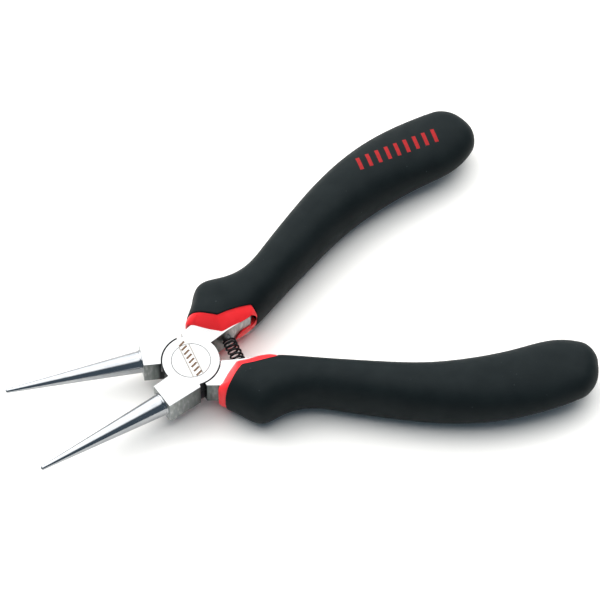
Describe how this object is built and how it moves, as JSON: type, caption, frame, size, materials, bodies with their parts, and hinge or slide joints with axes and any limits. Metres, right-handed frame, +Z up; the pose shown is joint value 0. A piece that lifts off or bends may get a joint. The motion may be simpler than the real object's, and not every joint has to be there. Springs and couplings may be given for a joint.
{
  "type": "round nose pliers",
  "caption": "Round nose pliers: tapered round jaws on a riveted lap joint, with a coil return spring and curved soft grips over coloured sleeves.",
  "frame": {"origin": "centre of the rivet's lower face, on the pivot axis", "axes": "+X from the jaws to the handles along the tool's middle, +Y to the right handle, +Z up along the pivot"},
  "size_m": [0.1204, 0.0792, 0.013],
  "materials": {
    "polished_steel": "satin faces, polished round jaws",
    "rivet_steel": "ground flush",
    "spring_steel": "black oxide",
    "red_sleeve": "semi-gloss",
    "black_grip": "soft-touch matte"
  },
  "bodies": {
    "right_half": {"lever_right": "polished_steel", "sleeve_right": "red_sleeve", "grip_right": "black_grip", "spring_peg_right": "rivet_steel", "rivet": "rivet_steel", "return_spring": "spring_steel"},
    "left_half": {"lever_left": "polished_steel", "sleeve_left": "red_sleeve", "grip_left": "black_grip", "spring_peg_left": "rivet_steel"}
  },
  "joints": [
    {"name": "pivot", "type": "hinge", "parent": "right_half", "child": "left_half", "pos_m": [0, 0, 0], "axis": [0, 0, 1], "range_deg": [-7, 28], "stiffness_Nm_per_rad": 0.27, "deforming": ["return_spring"]}
  ]
}
